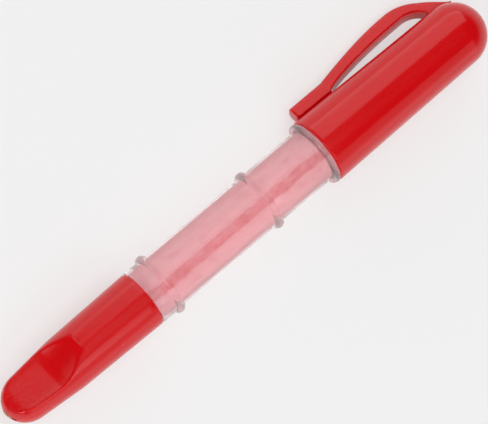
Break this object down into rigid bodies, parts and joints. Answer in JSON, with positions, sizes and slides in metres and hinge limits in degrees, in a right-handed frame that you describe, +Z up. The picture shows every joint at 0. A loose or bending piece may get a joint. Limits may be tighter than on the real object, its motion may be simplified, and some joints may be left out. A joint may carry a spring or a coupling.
{
  "type": "powder chalk liner pen",
  "caption": "Pen-style chalk liner for fabric: clear barrel of pink powder, scooped red nose with a toothed marking wheel, and a red cap with a clip, posted on the rear.",
  "frame": {"origin": "middle of the underside of the pen's box as it lies on a table", "axes": "+X along the pen from the nose to the cap, +Z up from the table, +Y to the side that the clip is on"},
  "size_m": [0.123, 0.0184, 0.0142],
  "materials": {
    "clear_plastic": "clear, glossy, moulded polystyrene",
    "chalk": "dry pink powder",
    "plug_plastic": "glossy moulded plastic",
    "red_nose": "satin gloss moulded plastic with a little chalk dust",
    "steel_pin": "drawn wire",
    "brass_wheel": "cut teeth",
    "red_cap": "glossy moulded plastic"
  },
  "bodies": {
    "barrel": {"barrel": "clear_plastic", "chalk_powder": "chalk"},
    "nose": {"nose": "red_nose", "wheel_axle": "steel_pin"},
    "wheel": {"marking_wheel": "brass_wheel"},
    "plug": {"rear_plug": "plug_plastic"},
    "cap": {"cap": "red_cap"},
    "clip": {"pocket_clip": "red_cap"}
  },
  "joints": [
    {"name": "nose_pull", "type": "slide", "parent": "barrel", "child": "nose", "axis": [-1, 0, 0], "range_m": [0, 0.009]},
    {"name": "wheel_spin", "type": "hinge", "parent": "nose", "child": "wheel", "pos_m": [-0.05901, -0.00211, 0.0071], "axis": [0, -0.4816, -0.8764], "continuous": true},
    {"name": "plug_pull", "type": "slide", "parent": "barrel", "child": "plug", "axis": [1, 0, 0], "range_m": [0, 0.008]},
    {"name": "cap_pull", "type": "slide", "parent": "barrel", "child": "cap", "axis": [1, 0, 0], "range_m": [0, 0.025]},
    {"name": "clip_flex", "type": "hinge", "parent": "cap", "child": "clip", "pos_m": [0.05391, 0.00516, 0.0031], "axis": [0, -0.4816, -0.8764], "range_deg": [0, 5], "stiffness_Nm_per_rad": 1}
  ]
}
